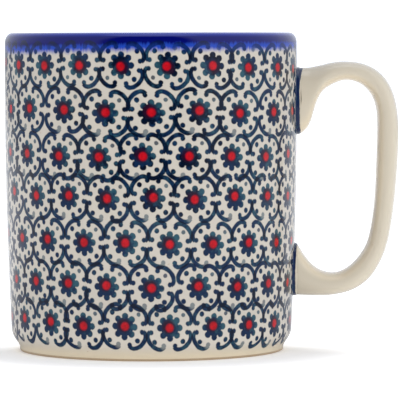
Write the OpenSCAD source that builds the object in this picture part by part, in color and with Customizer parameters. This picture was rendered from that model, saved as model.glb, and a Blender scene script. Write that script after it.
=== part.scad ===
// Stoneware mug with a strap handle, luted on with slip at its two ends.
// The origin is the middle of the foot, on the surface the mug stands on. The handle points to +X.

/* [Cup] */
// Height from the table to the top of the lip
cup_height = 98; // [96:0.5:104]
// Outer radius where the cup is widest
rim_radius = 45.2; // [42:0.1:48]
// Height at which the cup is widest
belly_height = 80; // [70:1:90]
// How much the barrel curve of the wall has drawn in by the table
wall_bow = 2.1; // [0.5:0.1:3]
// Thickness of the wall
wall_thickness = 4; // [3:0.1:5]
// Thickness of the floor
floor_thickness = 5; // [4:0.1:7]
// Radius that rounds the wall into the floor, inside
inner_corner = 9; // [5:0.5:12]
// Height of the lip's outer rounding
lip_drop = 3; // [2:0.1:4]

/* [Foot] */
// How far the foot is set in from the wall
foot_inset = 2.6; // [2:0.1:4]
// Height at which the wall starts to curve in
shoulder_height = 7.3; // [7:0.1:9]
// Radius of that curve
shoulder_radius = 6.5; // [6:0.1:6.8]
// Width of the ring that touches the table
foot_width = 5.5; // [4:0.1:7]
// Depth of the hollow under the floor
foot_hollow = 2; // [1:0.1:2.5]

/* [Handle] */
// How far the handle reaches past the rim
handle_reach = 31.4; // [28:0.1:34]
// Height of the handle, from the lower joint's foot to the top of the arch
handle_rise = 72.5; // [68:0.1:73]
// Height of the lower joint's foot above the table
handle_foot = 16.6; // [16:0.1:18]
// Width of the strap, across
handle_width = 14; // [12:0.1:17]
// How much wider the strap gets at its joints
handle_spread = 0.6; // [0:0.1:2.5]
// How square the strap's section is: 2 is an oval
section_power = 2.5; // [2:0.1:3]

/* [Slip joints] */
// How far the slip spreads over the wall, all round
joint_flare = 0.8; // [0.2:0.1:1.2]

/* [Hidden] */
$fn = 128;

base_radius = wall_radius(shoulder_height);
foot_radius = base_radius - foot_inset;
lip_base = cup_height - lip_drop;
lip_outer_share = 0.57;
floor_top = foot_hollow + floor_thickness;
foot_round = 0.6;
foot_turn = 36;
foot_pull = 1;
arc_steps = 8;
wall_steps = 8;

section_sides = 24;
span_steps = 3;
nominal_reach = 31.4;
nominal_rise = 72.5;
bead_depth = 0.7;
bead_share = 0.6;
root_depth = 6;

// Outer edge of the handle in side view, from the upper joint to the lower one: out from the
// rim's radius and up from the handle's foot, at the nominal reach and rise
outer_edge = [
    [0.9, 70.6], [2.4, 70.6], [4, 70.7], [6, 71.1], [8, 71.5], [10.5, 72.1], [14.5, 72.5], [20, 71.9],
    [25, 69.5], [28.6, 65.2], [30.6, 59.2], [31.4, 50.9], [31, 40.4], [29.9, 27.9], [28, 16.6],
    [25.2, 9.6], [21.7, 4.8], [16.8, 1.6], [11, 0.2], [7, 0], [3.4, 0], [-0.1, 0.1]
];
// Inner edge of the handle, the point across the strap from each one above
inner_edge = [
    [0.9, 50], [2.5, 51.2], [4, 53.4], [5, 56.8], [6.3, 60.7], [8.6, 64], [14, 66.6], [18.6, 66],
    [21.8, 63.6], [23.7, 60.4], [24.6, 56.4], [24.7, 50.4], [24.4, 40.4], [23.8, 28.4], [22.1, 17.9],
    [20, 13.4], [17.2, 10], [13.9, 7.7], [10.3, 7.1], [6.4, 8.3], [3, 11.4], [-0.1, 16.2]
];

// Outer radius of the wall at a height above the table
function wall_radius(z) = rim_radius - wall_bow * pow((belly_height - z) / belly_height, 2);

// The wall's outline between two heights, moved in by some thickness
function wall_line(from, to, inward) = [
    for (i = [0:wall_steps])
        let (z = from + (to - from) * i / wall_steps)
        [wall_radius(z) - inward, z]
];

// Points along an arc, counter-clockwise when the end angle is the larger
function arc(centre, rx, ry, from, to) = [
    for (i = [0:arc_steps])
        let (a = from + (to - from) * i / arc_steps)
        [centre.x + rx * cos(a), centre.y + ry * sin(a)]
];

// Points inside a smooth bend that leaves one point and reaches another along their two pulls
function bend(start, leave, reach, end) = [
    for (i = [1:arc_steps - 1])
        let (t = i / arc_steps, u = 1 - t)
        u * u * u * start + 3 * u * t * (u * leave + t * reach) + t * t * t * end
];

// A smooth curve through the points of a list, at place t from 0 to its last index
function pick(list, i) = list[max(0, min(len(list) - 1, i))];
function smooth(list, t) =
    let (
        i = min(floor(t), len(list) - 2),
        u = t - i,
        a = pick(list, i - 1),
        b = pick(list, i),
        c = pick(list, i + 1),
        d = pick(list, i + 2)
    )
    b + u * ((c - a) + u * ((2 * a - 5 * b + 4 * c - d) + u * (3 * (b - c) + d - a))) / 2;

// An edge point in the mug's frame
function placed(p) = [
    rim_radius + p.x * handle_reach / nominal_reach,
    handle_foot + p.y * handle_rise / nominal_rise
];

// One ring of the strap's section between an inner and an outer point of its side view
function power(v, n) = sign(v) * pow(abs(v), n);
function ring(inner, outer, half_width) = [
    for (k = [0:section_sides - 1])
        let (
            a = 360 * k / section_sides,
            across = power(cos(a), 2 / section_power),
            along = power(sin(a), 2 / section_power),
            mid = (inner + outer) / 2,
            half = (outer - inner) / 2
        )
        [mid.x + half.x * along, half_width * across, mid.y + half.y * along]
];

// A closed solid through a row of rings that all have the same number of points
module skin(rings) {
    n = len(rings[0]);
    last = len(rings) - 1;
    sides = [
        for (r = [0:last - 1], k = [0:n - 1], half = [0, 1])
            let (a = r * n + k, b = r * n + (k + 1) % n)
            half == 0 ? [a, b, b + n] : [a, b + n, a + n]
    ];
    start = [[for (k = [n - 1:-1:0]) k]];
    end = [[for (k = [0:n - 1]) last * n + k]];
    polyhedron([for (r = rings) each r], concat(sides, start, end), convexity = 6);
}

// Half width of the strap at place t along the handle
function half_width(t) =
    let (near = min(t, len(outer_edge) - 1 - t), spread = max(0, 1 - near / 4))
    handle_width / 2 + handle_spread * spread * spread / 2;

// The cup's outer surface, filled in, so that the slip can be cut to the wall's curve
module cup_solid() {
    rotate_extrude()
        polygon(concat([[0, shoulder_height]], wall_line(shoulder_height, lip_base, 0), [[0, lip_base]]));
}

module mug_body() {
    hollow_radius = foot_radius - foot_width;
    underside = [
        [0, foot_hollow],
        [hollow_radius - foot_hollow, foot_hollow],
        [hollow_radius, foot_round / 2],
        [hollow_radius + foot_round, 0]
    ];
    foot_corner = [foot_radius - foot_round, foot_round];
    shoulder_centre = [base_radius - shoulder_radius, shoulder_height];
    shoulder_curve = arc(shoulder_centre, shoulder_radius, shoulder_radius, -foot_turn, 0);
    shoulder_slope = [sin(foot_turn), cos(foot_turn)];
    lip_outer = wall_thickness * lip_outer_share;
    lip_centre = [wall_radius(lip_base) - lip_outer, lip_base];
    lip_inner = wall_thickness - lip_outer;
    inner_base = floor_top + inner_corner;
    corner_centre = [wall_radius(inner_base) - wall_thickness - inner_corner, inner_base];
    outside = concat(
        underside,
        arc(foot_corner, foot_round, foot_round, -90, 0),
        bend(
            [foot_radius, foot_round],
            [foot_radius, foot_round + foot_pull],
            shoulder_curve[0] - foot_pull * shoulder_slope,
            shoulder_curve[0]
        ),
        shoulder_curve,
        wall_line(shoulder_height, lip_base, 0),
        arc(lip_centre, lip_outer, lip_drop, 0, 90)
    );
    inside = concat(
        arc(lip_centre, lip_inner, lip_drop, 90, 180),
        wall_line(lip_base, inner_base, wall_thickness),
        arc(corner_centre, inner_corner, inner_corner, 0, -90),
        [[0, floor_top]]
    );
    color("ivory") rotate_extrude() polygon(concat(outside, inside));
}

module handle() {
    last = len(outer_edge) - 1;
    color("antiquewhite")
        skin([
            for (i = [0:last * span_steps])
                let (t = i / span_steps)
                ring(placed(smooth(inner_edge, t)), placed(smooth(outer_edge, t)), half_width(t))
        ]);
}

// The slip's outline at a depth behind the handle's end, where it has spread by some amount
function slip_ring(index, depth, spread) =
    let (back = [depth, 0], up = [0, spread])
    ring(
        placed(inner_edge[index]) - back - up,
        placed(outer_edge[index]) - back + up,
        half_width(index) + spread
    );

// A bead of slip from one end of the handle to the wall
module slip(index) {
    color("midnightblue")
        difference() {
            skin([
                slip_ring(index, 0, 0),
                slip_ring(index, bead_depth, joint_flare * bead_share),
                slip_ring(index, root_depth, joint_flare)
            ]);
            cup_solid();
        }
}

module upper_handle_joint() {
    slip(0);
}

module lower_handle_joint() {
    slip(len(outer_edge) - 1);
}

mug_body();
handle();
upper_handle_joint();
lower_handle_joint();
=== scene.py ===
"""Looks of the stoneware mug: its glazed pieces, its stamped decoration and a plain studio.

Lengths are in metres unless a name ends in mm. The decoration is worked out in millimetres
on the unrolled wall, and a colour is its red, green and blue.
"""

import math

import bmesh
import bpy
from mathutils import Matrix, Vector


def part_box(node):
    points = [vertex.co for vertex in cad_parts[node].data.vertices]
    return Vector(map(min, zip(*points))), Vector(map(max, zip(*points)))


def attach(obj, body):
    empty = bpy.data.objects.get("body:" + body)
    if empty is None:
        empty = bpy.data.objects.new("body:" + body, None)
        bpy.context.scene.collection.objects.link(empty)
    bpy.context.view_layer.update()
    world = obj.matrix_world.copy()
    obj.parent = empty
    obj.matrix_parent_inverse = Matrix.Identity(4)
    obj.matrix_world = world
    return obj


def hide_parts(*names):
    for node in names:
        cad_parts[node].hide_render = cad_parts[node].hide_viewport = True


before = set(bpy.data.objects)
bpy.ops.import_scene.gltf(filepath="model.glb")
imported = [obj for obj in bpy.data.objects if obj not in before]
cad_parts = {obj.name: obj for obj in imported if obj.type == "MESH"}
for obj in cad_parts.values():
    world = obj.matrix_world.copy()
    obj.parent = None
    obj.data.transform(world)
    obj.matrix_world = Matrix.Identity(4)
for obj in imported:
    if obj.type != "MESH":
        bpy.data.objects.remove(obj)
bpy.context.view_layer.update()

MM = 0.001
DEGREE = math.pi / 180

# ---------------------------------------------------------------- sizes of the pieces

_, body_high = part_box("mug_body")
HEIGHT = body_high.z
RIM = body_high.x
BELLY = 80.0 * MM
BOW = 2.1 * MM
WALL = 4.0 * MM
LIP_DROP = 3.0 * MM
LIP_OUTER = 0.57 * WALL
LIP_INNER = WALL - LIP_OUTER
SHOULDER = 7.3 * MM
SHOULDER_RADIUS = 6.5 * MM
FOOT_INSET = 2.6 * MM
FOOT_TURN = 36
FOOT_PULL = 1.0 * MM
FOOT_RING = 5.5 * MM
RING_EDGE = 0.5 * MM
HOLLOW = 2.0 * MM
FLOOR_TOP = 7.0 * MM
INNER_CORNER = 9.0 * MM
UNEVENNESS = 0.05 * MM
SEGMENTS = 288

# How far up the bare clay comes outside, and how far down the decorated finish comes inside
GLAZE_EDGE = 0.7 * MM
INSIDE_FINISH = 10 * MM
# Where the hollow under the floor curves down to the foot ring
HOLLOW_END = 3.0 * MM
HOLLOW_CURVE = (2.2 * MM, 1.5 * MM)

# The slip: its spread at the wall, the swelling before it, how deep it ends in the wall, and
# how fast it sweeps out
SLIP_FLARE = 0.7 * MM
SLIP_SWELLING = 0.16 * MM
SLIP_IN_WALL = 0.15 * MM
SLIP_RINGS = 10
SLIP_SWEEP = 1.6
# Corners of the CAD handle this close are one, and edges that turn by more are its cut ends
WELD = 0.01 * MM
SHARP_EDGE = 50
# How close to its cut end a corner of the CAD handle counts as on it
ON_END = 0.02 * MM

# The bake map: each half turn of the decorated wall has a strip, and the rest shares a third
STRIP_PITCH = 0.465
STRIP_HEIGHT = 0.455
LAST_STRIP = 0.935
LAST_STRIP_HEIGHT = 0.06

# ---------------------------------------------------------------- sizes of the decoration

# The stamped rows, from the top: height in mm, turn of the row's first stamp and
# how much closer than even its stamps sit at the front, both as shares of a step
ROWS = [
    (88.3, 0.40, 0.05),
    (74.5, 0.06, -0.01),
    (61.2, -0.12, 0.02),
    (48.9, 0.04, 0.07),
    (35.3, 0.43, 0.06),
    (22.4, 0.08, 0.03),
    (10.2, 0.47, 0.04),
]
STAMPS_IN_ROW = 20
ROW_STEP_MM = 13.0
DRIFT_MM = 0.7
SEED = 11
NUMBERS_PER_ROW = 37.0
# The range in which a stamp strays sideways and up or down and in which it tilts, how rough
# its outline is, and how soft
STRAY_X_MM = 1.3
STRAY_Y_MM = 0.9
TILT = 0.10
ROUGH_MM = 0.35
INK_EDGE_MM = 0.17

# The flower: its petals' middles lie between two distances from its own, they widen outwards,
# and its core is a disc
PETAL_NEAR_MM = 1.9
PETAL_FAR_MM = 3.12
PETAL_WIDENING = 0.19
PETAL_WIDTH_MM = 0.44
PETAL_TURN = 22.5 * DEGREE
CORE_MM = 2.88

# A scroll: half an oval drawn as a thick line, with a ball at each end. The two on the rising
# diagonal are shifted a little along themselves, and the lower left one lies further out
SCROLL_X_MM = 4.1
SCROLL_Y_MM = 3.85
SCROLL_OUT_MM = 2.05
SCROLL_SIDE_MM = 3.25
SCROLL_LINE_MM = 0.70
SCROLL_END_MM = 0.6
DIAGONAL_SIDE_MM = 0.3
LOWER_LEFT_OUT_MM = 0.22
BALL_SIDE_MM = 2.85
BALL_MM = 0.76

# The dot inside each scroll, and how much two of them differ in place and radius
DOT_X_MM = 4.2
DOT_Y_MM = 4.1
DOT_MM = 0.80
UPPER_RIGHT_DOT_MM = (0.15, -0.25, -0.15)
LOWER_LEFT_DOT_MM = (0.8, 0.2)

# The radii between which the red centre and its stain in the blue fade out, how far the red
# strays and how much it lies above the flower's middle
RED_MM = (1.65, 0.85)
HALO_MM = (2.7, 1.4)
HALO_SHIFT_MM = (-0.35, 0.3)
RED_STRAY_MM = (0.5, 0.4)
RED_UP_MM = 0.2

# The stamp's worn dot and worn scroll end: the place, the radii between which the wear sets in
# and how much colour it takes away
WORN_DOT = ((4.3, 3.85), (1.4, 0.8), 0.14)
WORN_END = ((-1.9, -5.3), (1.9, 0.7), 0.30)

# How strongly the blue leans to teal: towards the flower's upper right for each mm, in the
# petals' tips, by chance and where it is worn. The flower ends and its petals' tips begin
# between two distances from its middle
LEAN_PER_MM = 0.078
LEAN_TIPS = 0.19
LEAN_CHANCE = 0.25
LEAN_WORN = 2.0
FLOWER_END_MM = (4.8, 4.3)
PETAL_TIP_MM = (2.6, 3.6)
# How much cloudy patches add to that lean, and the leans between which navy turns to teal
PATCHES = 1.9
TEAL_LEAN = (-0.02, 0.70)

# The cobalt band sets in between two heights outside and two inside, it gets deep between two
# more, and on top of the lip it is lighter again
BAND_EDGE_MM = (91.9, 94.1)
INNER_BAND_MM = (89.5, 91.0)
DEEP_BAND_MM = (94.3, 95.6)
LIP_MM = (96.7, 97.9)
LIP_SHARE = 0.85
# Its streaks: how many there are for each radian, how short they are and how far they reach.
# The band also comes lower on the side that was dipped deeper
STREAKS = 60.0
STREAK_SHORTNESS = 0.06
STREAK_MM = 2.4
DIPPED_MM = 1.1

# Where the decorated finish turns to the inside on top of the lip, and the heights below which
# it is on the outside only
LIP_BLEND_MM = 0.6
OUTSIDE_BELOW_MM = (60.0, 50.0)
# The ink is darkest round the upper middle of the front and of the back: how far that
# reaches across and up, and the shares of this reach between which it fades to lighter
DARKEST_ACROSS_MM = 26.0
DARKEST_UP_MM = 42.0
DARKEST_FADE = (1.25, 0.75)
LIGHT_SHARE = 0.15

# The heights between which painted light makes the cream lighter low on the wall, and those
# between which it turns to the foot's warmer tint, lighter still with painted light, down to the
# foot
PAINTED_LIGHT_WALL_MM = (14.0, 5.0)
FOOT_TINT_AND_LIGHT_MM = (4.8, 0.5)

# How far the painted line reaches out from the wall, the heights between which the lower
# joint's line gives way to the upper one's, and those between which that gets wider
UPPER_LINE_MM = 1.15
LOWER_LINE_MM = 0.85
LINE_CHANGE_MM = (40, 60)
LINE_WIDENS_MM = (83, 88)
LINE_WIDER_MM = 0.6
LINE_EDGE_MM = 0.14
LINE_WAVE_MM = 0.6
# The middle of the finger gap, out from the axis and up
GAP_MIDDLE_MM = (57.0, 53.5)

# ---------------------------------------------------------------- colours

CREAM = (0.590, 0.545, 0.474)
WARM_CREAM = (0.672, 0.603, 0.480)
# The foot's own warmer tint, made lighter with painted light
FOOT_TINT_AND_PAINTED_LIGHT = (0.785, 0.680, 0.500)
# Painted light on the handle's side that faces the finger gap
PAINTED_LIGHT_CREAM = (0.790, 0.685, 0.510)
TAN = (0.44, 0.29, 0.16)
PALE_CLAY = (0.55, 0.46, 0.34)
NAVY = (0.004, 0.020, 0.064)
TEAL = (0.025, 0.086, 0.122)
DOUBLE_INK = (0.001, 0.005, 0.018)
COBALT_DEEP = (0.001, 0.003, 0.125)
COBALT = (0.014, 0.058, 0.42)
LIP_COBALT = (0.012, 0.035, 0.36)
RED = (0.53, 0.006, 0.015)
MAROON = (0.024, 0.003, 0.015)
JOINT_BLUE = (0.008, 0.020, 0.075)
TABLE_WHITE = (0.94, 0.92, 0.89)
TABLE_PALE = (0.96, 0.94, 0.91)
TABLE_FILTERED = (0.30, 0.30, 0.31)


def shaded(colour, share):
    """A colour made darker, or lighter, by a share."""
    return tuple(c * share for c in colour)


# ---------------------------------------------------------------- node arithmetic


class Value:
    """A node's output that takes part in arithmetic, so that a formula reads as one."""

    def __init__(self, graph, socket):
        self.graph, self.socket = graph, socket

    def __add__(self, other):
        return self.graph.math("ADD", self, other)

    def __sub__(self, other):
        return self.graph.math("SUBTRACT", self, other)

    def __rsub__(self, other):
        return self.graph.math("SUBTRACT", other, self)

    def __mul__(self, other):
        return self.graph.math("MULTIPLY", self, other)

    def __truediv__(self, other):
        return self.graph.math("DIVIDE", self, other)

    __radd__ = __add__
    __rmul__ = __mul__


class Colour(Value):
    """A node's colour output."""


class Graph:
    """A node tree, with short names for the nodes that the formulas use."""

    def __init__(self, tree):
        self.tree = tree
        self.shader = tree.nodes.get("Principled BSDF")

    def node(self, kind, inputs=(), **settings):
        made = self.tree.nodes.new(kind)
        for key, value in settings.items():
            setattr(made, key, value)
        for key, value in dict(inputs).items():
            self.plug(made.inputs[key], value)
        return made

    def plug(self, socket, value):
        """Links a node's output to a socket, or sets the socket to a plain number or colour."""
        if isinstance(value, Value):
            self.tree.links.new(value.socket, socket)
        else:
            socket.default_value = value

    def output(self, kind, name):
        """An output of a node that needs no inputs."""
        return Value(self, self.node(kind).outputs[name])

    def parts(self, vector):
        """The x, y and z of a vector."""
        made = self.node("ShaderNodeSeparateXYZ", {0: vector})
        return [Value(self, out) for out in made.outputs]

    def channels(self, colour):
        """The red, green and blue of a colour."""
        made = self.node("ShaderNodeSeparateColor", {0: colour})
        return [Value(self, out) for out in made.outputs[:3]]

    def math(self, operation, *inputs):
        made = self.node("ShaderNodeMath", enumerate(inputs), operation=operation)
        return Value(self, made.outputs[0])

    def hypot(self, x, y):
        return self.math("SQRT", x * x + y * y)

    def lowest(self, *values):
        best = values[0]
        for value in values[1:]:
            best = self.math("MINIMUM", best, value)
        return best

    def highest(self, *values):
        best = values[0]
        for value in values[1:]:
            best = self.math("MAXIMUM", best, value)
        return best

    def step(self, value, start, end, low=0.0, high=1.0):
        """Goes smoothly from low at start to high at end."""
        made = self.node(
            "ShaderNodeMapRange",
            {"Value": value, "From Min": start, "From Max": end, "To Min": low, "To Max": high},
            interpolation_type="SMOOTHSTEP",
        )
        return Value(self, made.outputs["Result"])

    def mix(self, share, first, second):
        """Blends two colours, or two numbers, by share."""
        number = not any(isinstance(v, (tuple, Colour)) for v in (first, second))
        made = self.node("ShaderNodeMix", data_type="FLOAT" if number else "RGBA")
        pair = (made.inputs[2], made.inputs[3]) if number else (made.inputs[6], made.inputs[7])
        self.plug(made.inputs[0], share)
        for socket, value in zip(pair, (first, second)):
            self.plug(socket, (*value, 1.0) if isinstance(value, tuple) else value)
        return Value(self, made.outputs[0]) if number else Colour(self, made.outputs[2])

    def noise(self, vector, scale, detail=2.0, roughness=0.5):
        made = self.node(
            "ShaderNodeTexNoise",
            {"Vector": vector, "Scale": scale, "Detail": detail, "Roughness": roughness},
        )
        return Value(self, made.outputs["Fac"])

    def random(self, number):
        """Three random numbers from 0 to 1 that belong to a number."""
        made = self.node("ShaderNodeTexWhiteNoise", {"W": number}, noise_dimensions="1D")
        return self.channels(Value(self, made.outputs["Color"]))

    def vector(self, x, y, z=0.0):
        made = self.node("ShaderNodeCombineXYZ", {0: x, 1: y, 2: z})
        return Value(self, made.outputs[0])

    def place_mm(self):
        """The point in the mug's frame, in mm: as a vector, and as its x, y and z."""
        where = self.output("ShaderNodeTexCoord", "Object")
        scaled = self.node("ShaderNodeVectorMath", {0: where}, operation="SCALE")
        scaled.inputs["Scale"].default_value = 1 / MM
        point = Value(self, scaled.outputs[0])
        return point, self.parts(point)

    def lookup(self, index, values):
        """The value of a short list at a whole number from 0."""
        low, high = min(values), max(values)
        span = (high - low) or 1.0
        ramp = self.node("ShaderNodeValToRGB", {0: (index + 0.5) / len(values)})
        ramp.color_ramp.interpolation = "CONSTANT"
        stops = ramp.color_ramp.elements
        while len(stops) < len(values):
            stops.new(0.5)
        for i, value in enumerate(values):
            stops[i].position = i / len(values)
            stops[i].color = [(value - low) / span] * 3 + [1.0]
        return self.channels(Value(self, ramp.outputs["Color"]))[0] * span + low

    def bump(self, height, distance_mm):
        made = self.node("ShaderNodeBump", {"Height": height, "Distance": distance_mm * MM})
        return Value(self, made.outputs[0])


def new_material(name):
    """A material with a Principled shader, and the graph of its nodes."""
    material = bpy.data.materials.new(name)
    material.use_nodes = True
    return material, Graph(material.node_tree)


# ---------------------------------------------------------------- the stamp


def ink(g, distance):
    """How much colour a stamped shape lays at a signed distance from its outline."""
    return g.step(distance, INK_EDGE_MM, -INK_EDGE_MM)


def flower(g, x, y, reach):
    """Signed distance to the eight-petalled flower, one petal straight up."""
    turn = g.math("WRAP", g.math("ARCTAN2", x, y), PETAL_TURN, -PETAL_TURN)
    across = reach * g.math("SINE", turn)
    along = reach * g.math("COSINE", turn)
    on_axis = g.lowest(g.highest(along, PETAL_NEAR_MM), PETAL_FAR_MM)
    petal = g.hypot(across, along - on_axis) - (on_axis * PETAL_WIDENING + PETAL_WIDTH_MM)
    return g.lowest(petal, reach - CORE_MM)


def scrolls(g, x, y, diagonal, lower_left):
    """Signed distance to the four C-shaped scrolls at the stamp's corners, folded into one."""
    from_x = g.math("ABSOLUTE", x) - SCROLL_X_MM
    from_y = g.math("ABSOLUTE", y) - SCROLL_Y_MM
    out = (from_x + from_y) * math.sqrt(0.5) - lower_left * LOWER_LEFT_OUT_MM
    side = (from_y - from_x) * math.sqrt(0.5) + diagonal * DIAGONAL_SIDE_MM
    share = g.hypot(out / SCROLL_OUT_MM, side / SCROLL_SIDE_MM)
    slope = g.hypot(out / SCROLL_OUT_MM ** 2, side / SCROLL_SIDE_MM ** 2)
    curve = g.math("ABSOLUTE", (share - 1.0) * share / slope) - SCROLL_LINE_MM
    curve = g.highest(curve, out * -1.0 - SCROLL_END_MM)
    balls = g.hypot(out + SCROLL_END_MM, g.math("ABSOLUTE", side) - BALL_SIDE_MM) - BALL_MM
    return g.lowest(curve, balls)


def dots(g, x, y, upper_right, lower_left):
    """Signed distance to the dot inside each scroll. The four sit a little differently."""
    right_x, right_y, right_radius = UPPER_RIGHT_DOT_MM
    left_x, left_y = LOWER_LEFT_DOT_MM
    centre_x = DOT_X_MM + upper_right * right_x + lower_left * left_x
    centre_y = DOT_Y_MM + upper_right * right_y + lower_left * left_y
    away = g.hypot(g.math("ABSOLUTE", x) - centre_x, g.math("ABSOLUTE", y) - centre_y)
    return away - (DOT_MM + upper_right * right_radius)


def wear(g, x, y, worn):
    """How much less colour a worn part of the stamp lays."""
    (centre_x, centre_y), radii, share = worn
    return g.step(g.hypot(x - centre_x, y - centre_y), *radii) * share


def red_centre(g, x, y, wobble, chance):
    """How much red the sponge lays in the flower's middle, and how far it stains the blue."""
    red_x = x - (chance[0] - 0.5) * RED_STRAY_MM[0]
    red_y = y - RED_UP_MM - (chance[1] - 0.5) * RED_STRAY_MM[1]
    red = g.step(g.hypot(red_x, red_y) + wobble * 0.6, *RED_MM)
    halo = g.step(g.hypot(red_x - HALO_SHIFT_MM[0], red_y - HALO_SHIFT_MM[1]), *HALO_MM)
    return red, halo


def stamp(g, x, y, wobble, chance):
    """One impression: how much blue and red it lays, its stain, and how far it leans to teal."""
    reach = g.hypot(x, y)
    right = g.step(x, -0.1, 0.1)
    top = g.step(y, -0.1, 0.1)
    upper_right = right * top
    lower_left = (1.0 - right) * (1.0 - top)
    outline = g.lowest(
        flower(g, x, y, reach),
        scrolls(g, x, y, upper_right + lower_left, lower_left),
        dots(g, x, y, upper_right, lower_left),
    )
    worn = g.highest(wear(g, x, y, WORN_DOT), wear(g, x, y, WORN_END))
    blue = ink(g, outline + wobble) * (1.0 - worn)
    red, halo = red_centre(g, x, y, wobble, chance)
    petals = g.step(reach, *FLOWER_END_MM)
    tips = g.step(reach, *PETAL_TIP_MM) * petals
    lean = (x + y) * LEAN_PER_MM * petals + tips * LEAN_TIPS
    lean = lean + chance[2] * LEAN_CHANCE + worn * LEAN_WORN
    return blue, red, halo, lean


def row_of(g, z, odd):
    """The nearest odd or even row at a height: its number, height, first turn and crowding."""
    top = ROWS[0][0]
    near = g.math("ROUND", ((top - z) / ROW_STEP_MM - odd) * 0.5) * 2.0 + odd
    row = g.lowest(g.highest(near, odd), len(ROWS) - 1 - odd)
    return row, *[g.lookup(row, column) for column in zip(*ROWS)]


def stamp_at(g, place, odd, row, y, wobble):
    """The nearest odd or even stamp of a row, y above the row's own height."""
    index = g.math("ROUND", (place - odd) * 0.5) * 2.0 + odd
    identity = g.math("WRAP", index, STAMPS_IN_ROW, 0.0) + row * NUMBERS_PER_ROW + SEED
    shift_x, shift_y, tilt = g.random(identity)
    chance = g.random(identity + 0.5)
    upside_down = g.math("LESS_THAN", row, 0.5) * math.pi
    x = (place - index) * (2 * math.pi / STAMPS_IN_ROW * RIM / MM) + (shift_x - 0.5) * STRAY_X_MM
    y = y + (shift_y - 0.5) * STRAY_Y_MM
    angle = (tilt - 0.5) * TILT + upside_down
    cosine, sine = g.math("COSINE", angle), g.math("SINE", angle)
    return stamp(g, x * cosine + y * sine, y * cosine - x * sine, wobble, chance)


def stamped(g, theta, z, wobble):
    """All the stamps. Odd and even rows and places are laid apart, so neighbours can overlap."""
    blue = red = halo = double = 0.0
    lean = None
    for odd_row in (0, 1):
        row, centre_z, first, crowd = row_of(g, z, odd_row)
        step = 2 * math.pi / STAMPS_IN_ROW
        place = (theta + crowd * g.math("SINE", theta)) / step - first
        for odd_place in (0, 1):
            made = stamp_at(g, place, odd_place, row, z - centre_z, wobble)
            lean = g.mix(made[0], lean, made[3]) if lean else made[3]
            double = g.highest(double, made[0] * blue)
            blue = g.highest(made[0], blue)
            red = g.highest(made[1], red)
            halo = g.highest(made[2], halo)
    return blue, red, halo, lean, double


# ---------------------------------------------------------------- finishes


def speckled_cream(g, where, z):
    """The clay seen through clear glaze, with faint iron specks: lighter low on the wall with
    painted light, and warm near the foot, where painted light makes it lighter still.
    """
    cloud = g.noise(where, scale=0.09, detail=3.0)
    ground = g.mix(cloud, CREAM, shaded(CREAM, 0.93))
    # Painted light: the cream is made lighter low on the wall, where the shoulder lies in shade.
    ground = g.mix(g.step(z, *PAINTED_LIGHT_WALL_MM), ground, shaded(CREAM, 1.13))
    # The foot's own warmer tint, made lighter with painted light where the foot lies in shade.
    ground = g.mix(g.step(z, *FOOT_TINT_AND_LIGHT_MM), ground, FOOT_TINT_AND_PAINTED_LIGHT)
    grain = g.noise(where, scale=2.3, roughness=0.7)
    ground = g.mix(g.step(grain, 0.58, 0.75, 0.0, 0.25), ground, WARM_CREAM)
    specks = g.noise(where, scale=0.9, detail=1.0)
    return g.mix(g.step(specks, 0.76, 0.80, 0.0, 0.35), ground, TAN)


def plain_cream(g, where):
    """The clear glaze where nothing was stamped: thicker there, so warmer."""
    cloud = g.noise(where, scale=0.09, detail=3.0)
    ground = g.mix(cloud, WARM_CREAM, shaded(WARM_CREAM, 0.94))
    specks = g.noise(where, scale=0.9, detail=1.0)
    return g.mix(g.step(specks, 0.74, 0.79, 0.0, 0.3), ground, TAN)


def glaze(g, where, refraction=1.4):
    """Clear glaze: shiny, with a faint orange peel and slow hand-made waves."""
    patchy = g.noise(where, scale=0.35)
    g.plug(g.shader.inputs["Roughness"], patchy * 0.06 + 0.06)
    g.shader.inputs["IOR"].default_value = refraction
    waves = g.noise(where, scale=0.11, detail=1.0)
    peel = g.noise(where, scale=1.1)
    g.plug(g.shader.inputs["Normal"], g.bump(waves * 0.9 + peel * 0.1, distance_mm=0.16))


def stamped_wall(g, where, x, z, theta, outside):
    """The cream wall with its flowers, scrolls and dots, and how blue it is."""
    fine = g.noise(where, scale=0.75, detail=3.0, roughness=0.6)
    wobble = (fine - 0.5) * ROUGH_MM
    level = z + g.math("SINE", theta) * DRIFT_MM
    blue, red, halo, lean, double = stamped(g, theta, level, wobble)
    blue, red = blue * outside, red * outside

    mottle = g.noise(where, scale=0.55, detail=3.0, roughness=0.65)
    thin = g.step(lean + (mottle - 0.5) * PATCHES, *TEAL_LEAN)
    pigment = g.mix(thin, NAVY, TEAL)
    reach = g.hypot(x / DARKEST_ACROSS_MM, (z - BELLY / MM) / DARKEST_UP_MM)
    darkest_middle = g.step(reach, *DARKEST_FADE, LIGHT_SHARE, 1.0)
    darker_ink = g.step(g.noise(where, scale=0.30), 0.40, 0.58) * darkest_middle * (1.0 - thin * 0.7)
    pigment = g.mix(g.highest(double * 0.9, darker_ink), pigment, DOUBLE_INK)
    pigment = g.mix(halo * 0.85, pigment, MAROON)
    density = g.step(mottle, 0.30, 0.50, 0.996, 1.0)
    colour = g.mix(blue * density, speckled_cream(g, where, z), pigment)
    red_paint = g.mix(g.step(fine, 0.35, 0.7), RED, shaded(RED, 0.72))
    return g.mix(red, colour, red_paint), blue


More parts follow.
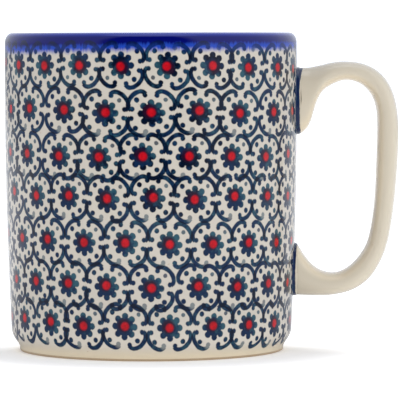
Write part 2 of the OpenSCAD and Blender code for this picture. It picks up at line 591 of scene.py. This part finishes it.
def cobalt_band(g, z, theta, outside, blue):
    """How much cobalt covers the wall and the lip, with a streaky lower edge, and its colour."""
    drawn = g.vector(theta * STREAKS, z * STREAK_SHORTNESS)
    streaks = g.noise(drawn, scale=1.0, detail=3.0, roughness=0.7)
    dipped = g.highest(g.math("SINE", theta) * -1.0, 0.0)
    level = z + (streaks - 0.5) * STREAK_MM + dipped * DIPPED_MM
    band = g.mix(outside, g.step(level, *INNER_BAND_MM), g.step(level, *BAND_EDGE_MM))
    cobalt = g.mix(g.step(level, *DEEP_BAND_MM), COBALT, COBALT_DEEP)
    cobalt = g.mix(g.step(z, *LIP_MM, 0.0, LIP_SHARE), cobalt, LIP_COBALT)
    return band, g.mix(blue * 0.7, cobalt, shaded(NAVY, 0.4))


def decorated_material():
    """Cream glaze with the stamped rows and the cobalt band over the lip."""
    material, g = new_material("decorated_glaze")
    where, (x, y, z) = g.place_mm()
    theta = g.math("ARCTAN2", x, y * -1.0)
    lip_top = (wall_radius(HEIGHT - LIP_DROP) - LIP_OUTER) / MM
    on_outer_wall = g.step(g.hypot(x, y), lip_top - LIP_BLEND_MM, lip_top)
    outside = g.highest(on_outer_wall, g.step(z, *OUTSIDE_BELOW_MM))
    wall, blue = stamped_wall(g, where, x, z, theta, outside)
    band, cobalt = cobalt_band(g, z, theta, outside, blue)
    g.plug(g.shader.inputs["Base Color"], g.mix(band, wall, cobalt))
    glaze(g, where)
    return material


def plain_material(name):
    """Cream glaze with nothing on it."""
    material, g = new_material(name)
    where, _ = g.place_mm()
    g.plug(g.shader.inputs["Base Color"], plain_cream(g, where))
    glaze(g, where)
    return material


def painted_light_facing_gap(g, x, z):
    """How much painted light lightens the side of the strap that faces the finger gap, where it
    lies in shade.
    """
    out_x, _, out_z = g.parts(g.output("ShaderNodeNewGeometry", "Normal"))
    to_x = GAP_MIDDLE_MM[0] - x
    to_z = GAP_MIDDLE_MM[1] - z
    facing = (out_x * to_x + out_z * to_z) / g.hypot(to_x, to_z)
    return g.step(facing, 0.1, 0.95)


def painted_material(name):
    """Cream glaze with the blue line painted by hand round each end of the handle, and painted
    light on the strap's side that faces the finger gap.
    """
    material, g = new_material(name)
    where, (x, y, z) = g.place_mm()
    drawn_in = (BELLY / MM - z) * (MM / BELLY)
    wall = drawn_in * drawn_in * (-BOW / MM) + RIM / MM
    wavy = (g.noise(where, scale=0.35, detail=3.0) - 0.5) * LINE_WAVE_MM
    above = g.hypot(x, y) - wall + wavy
    edge = g.step(z, *LINE_CHANGE_MM, LOWER_LINE_MM, UPPER_LINE_MM)
    edge = edge + g.step(z, *LINE_WIDENS_MM, 0.0, LINE_WIDER_MM)
    line_share = g.step(above - edge, LINE_EDGE_MM, -LINE_EDGE_MM)
    thin = g.noise(where, scale=0.8)
    paint = g.mix(g.step(thin, 0.45, 0.75, 0.0, 0.5), JOINT_BLUE, TEAL)
    # Painted light: the side of the strap that faces the finger gap is made lighter, where it lies
    # in shade.
    glazed = g.mix(painted_light_facing_gap(g, x, z), plain_cream(g, where), PAINTED_LIGHT_CREAM)
    g.plug(g.shader.inputs["Base Color"], g.mix(line_share, glazed, paint))
    glaze(g, where, refraction=1.5)
    return material


def clay_material():
    """Bare fired stoneware, where the foot was wiped clean of glaze."""
    material, g = new_material("bare_clay")
    where, _ = g.place_mm()
    grain = g.noise(where, scale=3.0, detail=4.0, roughness=0.7)
    stain = g.noise(where, scale=0.15)
    g.plug(g.shader.inputs["Base Color"], g.mix(grain * 0.5 + stain * 0.5, TAN, PALE_CLAY))
    g.plug(g.shader.inputs["Roughness"], grain * 0.2 + 0.65)
    g.plug(g.shader.inputs["Normal"], g.bump(grain, distance_mm=0.08))
    return material


# ---------------------------------------------------------------- outlines


def arc(centre, radii, start, end, steps):
    """Points along an elliptical arc, as (radius, height) pairs."""
    turns = [math.radians(start + (end - start) * i / steps) for i in range(steps + 1)]
    return [(centre[0] + radii[0] * math.cos(t), centre[1] + radii[1] * math.sin(t)) for t in turns]


def line(start, end, steps):
    """Points from start up to, and without, end."""
    return [
        tuple(a + (b - a) * i / steps for a, b in zip(start, end))
        for i in range(steps)
    ]


def wall_radius(height):
    """The outside radius of the barrel-shaped wall."""
    return RIM - BOW * ((BELLY - height) / BELLY) ** 2


def wall_line(start, end, inward, steps):
    """Points on the wall from the height start up to, and without, end."""
    heights = [start + (end - start) * i / steps for i in range(steps)]
    return [(wall_radius(height) - inward, height) for height in heights]


def foot_bend(start, end, steps):
    """Points up to, and without, end on the smooth bend from the foot into the shoulder."""
    turn = math.radians(FOOT_TURN)
    leave = (start[0], start[1] + FOOT_PULL)
    reach = (end[0] - FOOT_PULL * math.sin(turn), end[1] - FOOT_PULL * math.cos(turn))
    corners = (start, leave, reach, end)
    points = []
    for i in range(steps):
        t = i / steps
        u = 1 - t
        shares = (u ** 3, 3 * u * u * t, 3 * u * t * t, t ** 3)
        points.append(tuple(sum(s * c[axis] for s, c in zip(shares, corners)) for axis in (0, 1)))
    return points


def underside():
    """The section under the floor: the glazed hollow, and the bare ring that the mug stands on."""
    foot = wall_radius(SHOULDER) - FOOT_INSET
    ring_inside = foot - FOOT_RING
    ceiling_end = ring_inside - HOLLOW_END
    hollow = line((0, HOLLOW), (ceiling_end, HOLLOW), steps=8)
    hollow += arc((ceiling_end, HOLLOW - HOLLOW_CURVE[1]), HOLLOW_CURVE, 90, 20, steps=6)
    edge = (RING_EDGE, RING_EDGE)
    ring = arc((ring_inside + RING_EDGE, RING_EDGE), edge, 180, 270, steps=5)
    ring += arc((foot - RING_EDGE, RING_EDGE), edge, -90, 0, steps=5)
    return hollow, ring


def decorated_outside():
    """The section from the foot up the wall, over the lip and a little way down inside."""
    base = wall_radius(SHOULDER)
    centre = (base - SHOULDER_RADIUS, SHOULDER)
    shoulder = arc(centre, (SHOULDER_RADIUS, SHOULDER_RADIUS), -FOOT_TURN, 0, steps=12)[:-1]
    lip_base = HEIGHT - LIP_DROP
    lip_centre = (wall_radius(lip_base) - LIP_OUTER, lip_base)
    outside = foot_bend((base - FOOT_INSET, GLAZE_EDGE), shoulder[0], steps=8) + shoulder
    outside += wall_line(SHOULDER, lip_base, 0, steps=44)
    outside += arc(lip_centre, (LIP_OUTER, LIP_DROP), 0, 90, steps=10)
    outside += arc(lip_centre, (LIP_INNER, LIP_DROP), 90, 180, steps=10)[1:]
    outside += wall_line(lip_base, HEIGHT - INSIDE_FINISH, WALL, steps=6)[1:]
    return outside


def plain_inside():
    """The section down the inner wall and across the floor to the axis."""
    inner_base = FLOOR_TOP + INNER_CORNER
    inner = wall_line(HEIGHT - INSIDE_FINISH, inner_base, WALL, steps=24)
    corner = (wall_radius(inner_base) - WALL - INNER_CORNER, inner_base)
    inner += arc(corner, (INNER_CORNER, INNER_CORNER), 0, -90, steps=14)
    inner += line((corner[0], FLOOR_TOP), (0, FLOOR_TOP), steps=8)[1:] + [(0, FLOOR_TOP)]
    return inner


# ---------------------------------------------------------------- pieces


def finished_mesh(name, bm):
    """A mesh made from a bmesh, which is then let go."""
    mesh = bpy.data.meshes.new(name)
    bm.to_mesh(mesh)
    bm.free()
    return mesh


def add_piece(name, mesh, node):
    """A visual piece that takes the place of a CAD node."""
    piece = bpy.data.objects.new(name, mesh)
    bpy.context.scene.collection.objects.link(piece)
    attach(piece, "root")
    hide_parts(node)
    return piece


def smoothed(piece):
    """Rounds a piece with a subdivision surface that leaves its creased edges sharp."""
    smooth = piece.modifiers.new("smooth", "SUBSURF")
    smooth.levels = smooth.render_levels = 2
    for face in piece.data.polygons:
        face.use_smooth = True
    return piece


# ---------------------------------------------------------------- the cup


def throwing(theta, height):
    """The small unevenness of a cup made by hand, in metres."""
    slow = math.sin(2 * theta + 0.7) + 0.6 * math.sin(3 * theta - 1.1 + height * 18)
    return UNEVENNESS * (slow - 0.6)


def turned(bm, profile):
    """The rings of vertices that a section leaves as it turns round the axis."""
    rings = []
    for radius, height in profile:
        if radius == 0:
            rings.append([bm.verts.new((0, 0, height))])
            continue
        ring = []
        for i in range(SEGMENTS):
            theta = 2 * math.pi * i / SEGMENTS
            r = radius + throwing(theta, height)
            ring.append(bm.verts.new((r * math.sin(theta), -r * math.cos(theta), height)))
        rings.append(ring)
    return rings


def band_corners(lower, upper, band, i):
    """A face's corners between two rings, each as its vertex, its ring's number and its turn."""
    j = (i + 1) % SEGMENTS
    if len(lower) == 1:
        return [(lower[0], band, i + 0.5), (upper[j], band + 1, i + 1), (upper[i], band + 1, i)]
    if len(upper) == 1:
        return [(lower[i], band, i), (lower[j], band, i + 1), (upper[0], band + 1, i + 0.5)]
    return [
        (lower[i], band, i),
        (lower[j], band, i + 1),
        (upper[j], band + 1, i + 1),
        (upper[i], band + 1, i),
    ]


def lengths_along(profile):
    """The distance along a section to each of its points."""
    lengths = [0.0]
    for a, b in zip(profile, profile[1:]):
        lengths.append(lengths[-1] + math.dist(a, b))
    return lengths


def make_body():
    """The cup as one closed surface of revolution, with its three finishes and its bake map."""
    hollow, ring = underside()
    outside = decorated_outside()
    profile = hollow + ring + outside + plain_inside()
    clay_start = len(hollow)
    glaze_start = clay_start + len(ring)
    inner_start = glaze_start + len(outside)
    lengths = lengths_along(profile)

    def finish_of(band):
        """The material of a band: 0 is decorated glaze, 1 is plain glaze and 2 is bare clay."""
        if clay_start <= band < glaze_start:
            return 2
        return 0 if glaze_start <= band < inner_start - 1 else 1

    def place_on_chart(band, i, level, turn):
        """A corner's place on the bake map."""
        if finish_of(band) != 0:
            return turn, LAST_STRIP + LAST_STRIP_HEIGHT * lengths[level] / lengths[-1]
        low, high = lengths[glaze_start - 1], lengths[inner_start]
        half = 0 if i < SEGMENTS // 2 else 1
        along = (lengths[level] - low) / (high - low)
        return turn * 2 - half, half * STRIP_PITCH + STRIP_HEIGHT * along

    bm = bmesh.new()
    rings = turned(bm, profile)
    chart = bm.loops.layers.uv.new("OFBake")
    for band, (lower, upper) in enumerate(zip(rings, rings[1:])):
        for i in range(SEGMENTS):
            corners = band_corners(lower, upper, band, i)
            face = bm.faces.new([vert for vert, _, _ in corners])
            face.material_index = finish_of(band)
            face.smooth = True
            for loop, (_, level, turn) in zip(face.loops, corners):
                loop[chart].uv = place_on_chart(band, i, level, turn / SEGMENTS)
    bmesh.ops.recalc_face_normals(bm, faces=bm.faces)
    mesh = finished_mesh("mug_body_glazed", bm)
    for material in (decorated_material(), plain_material("plain_glaze"), clay_material()):
        mesh.materials.append(material)
    return add_piece("mug_body_glazed", mesh, "mug_body")


# ---------------------------------------------------------------- the handle and its slip


def welded(node):
    """A CAD node's shape as a bmesh of quads with shared corners."""
    bm = bmesh.new()
    bm.from_mesh(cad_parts[node].data)
    for layer in list(bm.loops.layers.uv):
        bm.loops.layers.uv.remove(layer)
    bmesh.ops.remove_doubles(bm, verts=bm.verts, dist=WELD)
    bmesh.ops.join_triangles(
        bm, faces=bm.faces, angle_face_threshold=math.pi, angle_shape_threshold=math.pi
    )
    return bm


def make_handle():
    """The strap handle: the CAD sweep, made smooth, with its cut ends kept sharp."""
    bm = welded("handle")
    crease = bm.edges.layers.float.new("crease_edge")
    for edge in bm.edges:
        if len(edge.link_faces) == 2 and edge.calc_face_angle() > math.radians(SHARP_EDGE):
            edge[crease] = 1.0
    mesh = finished_mesh("handle_glazed", bm)
    mesh.materials.clear()
    mesh.materials.append(painted_material("handle_glaze"))
    return smoothed(add_piece("handle_glazed", mesh, "handle"))


def end_outline(node):
    """The handle's end that meets a joint, from the CAD handle: how far out it is, the height
    of its middle, and the points round it."""
    low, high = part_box(node)
    points = {
        (round(v.co.y, 6), round(v.co.z, 6))
        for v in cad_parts["handle"].data.vertices
        if abs(v.co.x - high.x) < ON_END and low.z - MM < v.co.z < high.z + MM
    }
    middle_z = (min(z for _, z in points) + max(z for _, z in points)) / 2
    ordered = sorted(points, key=lambda p: math.atan2(p[1] - middle_z, p[0]))
    return high.x, middle_z, ordered


def slip_ring(bm, end, t):
    """The slip's outline at a share t of its way from the handle's end to the wall."""
    face_x, middle_z, outline = end
    spread = SLIP_SWELLING * math.sin(math.pi * min(1.0, t * SLIP_SWEEP)) + SLIP_FLARE * t ** 3
    ring = []
    for y, z in outline:
        away = Vector((y, z - middle_z))
        grown = away * (1 + spread / max(away.length, MM))
        height = middle_z + grown.y
        wall_x = math.sqrt(wall_radius(height) ** 2 - grown.x ** 2) - SLIP_IN_WALL
        x = face_x + (wall_x - face_x) * (1 - (1 - t) ** SLIP_SWEEP)
        ring.append(bm.verts.new((x, grown.x, height)))
    return ring


def make_joint(name, node):
    """A bead of slip: it leaves the handle's end and sweeps out onto the wall."""
    bm = bmesh.new()
    end = end_outline(node)
    rings = [slip_ring(bm, end, k / SLIP_RINGS) for k in range(SLIP_RINGS + 1)]
    count = len(rings[0])
    for lower, upper in zip(rings, rings[1:]):
        for i in range(count):
            j = (i + 1) % count
            bm.faces.new((lower[i], upper[i], upper[j], lower[j]))
    ends = (rings[0], rings[-1])
    for ring in ends:
        bm.faces.new(ring)
    bmesh.ops.recalc_face_normals(bm, faces=bm.faces)
    crease = bm.edges.layers.float.new("crease_edge")
    for ring in ends:
        for i, vert in enumerate(ring):
            bm.edges.get((vert, ring[(i + 1) % count]))[crease] = 1.0
    mesh = finished_mesh(name, bm)
    mesh.materials.append(painted_material(name + "_glaze"))
    return smoothed(add_piece(name, mesh, node))


# ---------------------------------------------------------------- studio

CAMERA_AWAY = 1.07
CAMERA_SIDE = 0.0152
CAMERA_HEIGHT = 0.1006
CAMERA_ROLL = 0.0021
AIM_HEIGHT = 0.0462
LENS_MM = 311.2
SENSOR_MM = 36
FARTHEST = 50

TABLE_FRONT = 0.54
TABLE_SIDE = 1.2
TABLE_BACK = 4.0
# The table's glow grows with the distance from the mug's axis: from the foot on in front, and
# from well inside the foot behind
FOOT_FRONT_MM = 41.0
FOOT_BACK_MM = 11.0
FOOT_SIDES_MM = (-20, 20)
GLOW_MM = (9, 40)
GLOW = (0.15, 0.50)
GLOW_IN_GLAZE = 0.4
# The near part of the table shows only faintly in the glaze, up to this far behind the mug
FILTERED_MM = (-100, 300)

# The dim gap where the photographer stands: how far it is turned aside and where it ends.
# Heights and sides of the light round the mug are those on a sphere of radius 1
GAP_TURN = 2 * DEGREE
GAP_EDGE = (30 * DEGREE, 44 * DEGREE)
HORIZON = (-0.10, 0.10)
BELOW_AND_ABOVE = (0.40, 1.05)
MIDDLE = (-0.3, 0.3)
LEFT_AND_RIGHT = (0.76, 0.91)
OVERHEAD = (0.90, 0.97)
OVERHEAD_LIGHT = 1.8
BACKDROP = 1.3
LEAST_LIGHT = 0.01
STUDIO_TINT = (0.95, 0.99, 1.07, 1)


def make_camera():
    """The camera at the photograph's viewing angle."""
    camera = bpy.data.objects.new("camera", bpy.data.cameras.new("camera"))
    bpy.context.scene.collection.objects.link(camera)
    camera.data.sensor_width = SENSOR_MM
    camera.data.lens = LENS_MM
    camera.data.clip_end = FARTHEST
    camera.location = (CAMERA_SIDE, -CAMERA_AWAY, CAMERA_HEIGHT)
    down = math.atan2(CAMERA_HEIGHT - AIM_HEIGHT, CAMERA_AWAY)
    camera.rotation_euler = (math.pi / 2 - down, CAMERA_ROLL, 0)
    bpy.context.scene.camera = camera


def table_material():
    """White, with a glow that fades close to the foot. The near part shows only faintly in the
    glaze, as it does through a polarising filter."""
    material, g = new_material("table_white")
    where, (x, y, _) = g.place_mm()
    white = g.mix(g.noise(where, scale=0.01), TABLE_WHITE, TABLE_PALE)
    filtered = g.mix(g.step(y, *FILTERED_MM), TABLE_FILTERED, white)
    in_glaze = g.output("ShaderNodeLightPath", "Is Glossy Ray")
    g.plug(g.shader.inputs["Base Color"], g.mix(in_glaze, white, filtered))
    g.shader.inputs["Roughness"].default_value = 0.6
    g.shader.inputs["Specular IOR Level"].default_value = 0.0
    g.shader.inputs["Emission Color"].default_value = (1, 1, 1, 1)
    starts_at = g.step(y, *FOOT_SIDES_MM, FOOT_FRONT_MM, FOOT_BACK_MM)
    glow = g.step(g.hypot(x, y) - starts_at, *GLOW_MM, *GLOW)
    g.plug(g.shader.inputs["Emission Strength"], g.mix(in_glaze, glow, glow * GLOW_IN_GLAZE))
    return material


def make_table():
    """A white table top. It ends in front of the mug, at the photographer's side."""
    mesh = bpy.data.meshes.new("table_top")
    corners = [
        (-TABLE_SIDE, -TABLE_FRONT, 0),
        (TABLE_SIDE, -TABLE_FRONT, 0),
        (TABLE_SIDE, TABLE_BACK, 0),
        (-TABLE_SIDE, TABLE_BACK, 0),
    ]
    mesh.from_pydata(corners, [], [(0, 1, 2, 3)])
    mesh.materials.append(table_material())
    table = bpy.data.objects.new("table_top", mesh)
    bpy.context.scene.collection.objects.link(table)


def make_surroundings():
    """White all round, apart from a dim gap where the photographer stands."""
    world = bpy.data.worlds.new("studio")
    bpy.context.scene.world = world
    world.use_nodes = True
    g = Graph(world.node_tree)
    x, y, z = g.parts(g.output("ShaderNodeTexCoord", "Generated"))
    turn = g.math("ABSOLUTE", g.math("ARCTAN2", x, y * -1.0) + GAP_TURN)
    beside = g.step(turn, *GAP_EDGE) * g.step(z, *HORIZON, *BELOW_AND_ABOVE)
    beside = beside * g.step(x, *MIDDLE, *LEFT_AND_RIGHT)
    overhead = g.step(z, *OVERHEAD, 0.0, OVERHEAD_LIGHT)
    light = g.highest(beside, overhead, LEAST_LIGHT)
    seen = g.output("ShaderNodeLightPath", "Is Camera Ray")
    background = g.tree.nodes["Background"]
    g.plug(background.inputs["Strength"], g.mix(seen, light, BACKDROP))
    background.inputs["Color"].default_value = STUDIO_TINT


def make_lamp(name, place, size, power):
    """A soft lamp that lights the mug but leaves no highlight in its glaze."""
    lamp = bpy.data.objects.new(name, bpy.data.lights.new(name, "AREA"))
    bpy.context.scene.collection.objects.link(lamp)
    lamp.data.size = size
    lamp.data.energy = power
    lamp.location = place
    to_mug = Vector((0, 0, HEIGHT / 2)) - lamp.location
    lamp.rotation_euler = to_mug.to_track_quat("-Z", "Y").to_euler()
    lamp.visible_glossy = False


def make_studio():
    """Camera, table, surroundings and two soft lamps."""
    make_camera()
    make_table()
    make_surroundings()
    make_lamp("front", (0.06, -1.10, 0.56), size=1.2, power=6.0)
    make_lamp("right", (0.95, -0.35, 0.50), size=0.8, power=0.4)
    bpy.context.scene.view_settings.view_transform = "Standard"


make_studio()
make_body()
make_handle()
make_joint("upper_slip", "upper_handle_joint")
make_joint("lower_slip", "lower_handle_joint")
